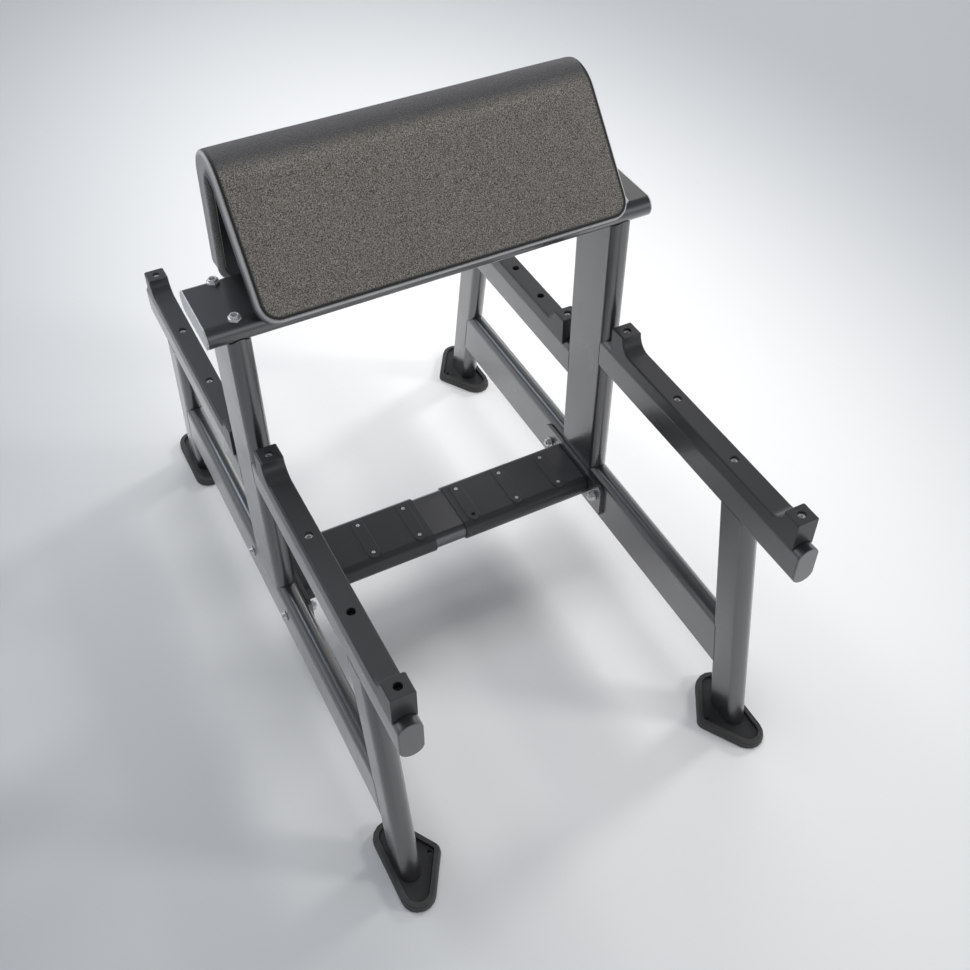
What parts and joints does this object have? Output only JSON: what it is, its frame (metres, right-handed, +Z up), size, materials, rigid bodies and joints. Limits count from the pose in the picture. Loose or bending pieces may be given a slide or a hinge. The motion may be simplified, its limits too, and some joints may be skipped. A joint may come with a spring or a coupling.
{
  "type": "preacher bench",
  "caption": "Free-standing preacher bench: two leaning steel side frames with bar racks, joined by a bolted beam and brace, under a sloping arm pad.",
  "frame": {"origin": "on the floor, midway between the two side frames and midway between the front and rear feet", "axes": "+X along the arm pad, to the user's right; -Y towards the user, in front of the sloping pad; +Z up"},
  "size_m": [0.8066, 1.3442, 1.0818],
  "materials": {
    "frame_paint": "satin metallic dark grey powder coat",
    "cap_paint": "satin light grey paint",
    "black_paint": "satin black powder coat",
    "black_plastic": "satin black hard plastic",
    "black_rubber": "matte black moulded rubber",
    "zinc": "satin bright zinc plating",
    "pad_vinyl": "matte, finely pebbled dark grey upholstery vinyl",
    "board_paint": "matte black painted board with bare edges"
  },
  "bodies": {
    "root": {"left_lower_rail": "frame_paint", "left_upright": "frame_paint", "left_top_plate": "frame_paint", "left_front_leg": "frame_paint", "left_front_rack_rail": "frame_paint", "left_front_rack_end_cap": "frame_paint", "left_front_rack_cover": "black_plastic", "left_front_foot": "black_rubber", "left_front_foot_plate": "black_paint", "left_front_beam_bolt": "zinc", "left_front_flange_bolt": "zinc", "left_front_flange_nut": "zinc", "left_front_bracket_bolt": "zinc", "left_rear_leg": "frame_paint", "left_rear_rack_rail": "frame_paint", "left_rear_rack_end_cap": "frame_paint", "left_rear_rack_cover": "black_plastic", "left_rear_foot": "black_rubber", "left_rear_foot_plate": "black_paint", "left_rear_beam_bolt": "zinc", "left_rear_flange_bolt": "zinc", "left_rear_flange_nut": "zinc", "left_rear_bracket_bolt": "zinc", "left_beam_end_cap": "cap_paint", "left_flange": "frame_paint", "left_brace_cover": "black_plastic", "left_pad_bracket": "black_paint", "right_lower_rail": "frame_paint", "right_upright": "frame_paint", "right_top_plate": "frame_paint", "right_front_leg": "frame_paint", "right_front_rack_rail": "frame_paint", "right_front_rack_end_cap": "frame_paint", "right_front_rack_cover": "black_plastic", "right_front_foot": "black_rubber", "right_front_foot_plate": "black_paint", "right_front_beam_bolt": "zinc", "right_front_flange_bolt": "zinc", "right_front_flange_nut": "zinc", "right_front_bracket_bolt": "zinc", "right_rear_leg": "frame_paint", "right_rear_rack_rail": "frame_paint", "right_rear_rack_end_cap": "frame_paint", "right_rear_rack_cover": "black_plastic", "right_rear_foot": "black_rubber", "right_rear_foot_plate": "black_paint", "right_rear_beam_bolt": "zinc", "right_rear_flange_bolt": "zinc", "right_rear_flange_nut": "zinc", "right_rear_bracket_bolt": "zinc", "right_beam_end_cap": "cap_paint", "right_flange": "frame_paint", "right_brace_cover": "black_plastic", "right_pad_bracket": "black_paint", "top_beam": "frame_paint", "cross_brace": "frame_paint", "arm_pad": "pad_vinyl", "pad_board": "board_paint"}
  },
  "joints": []
}
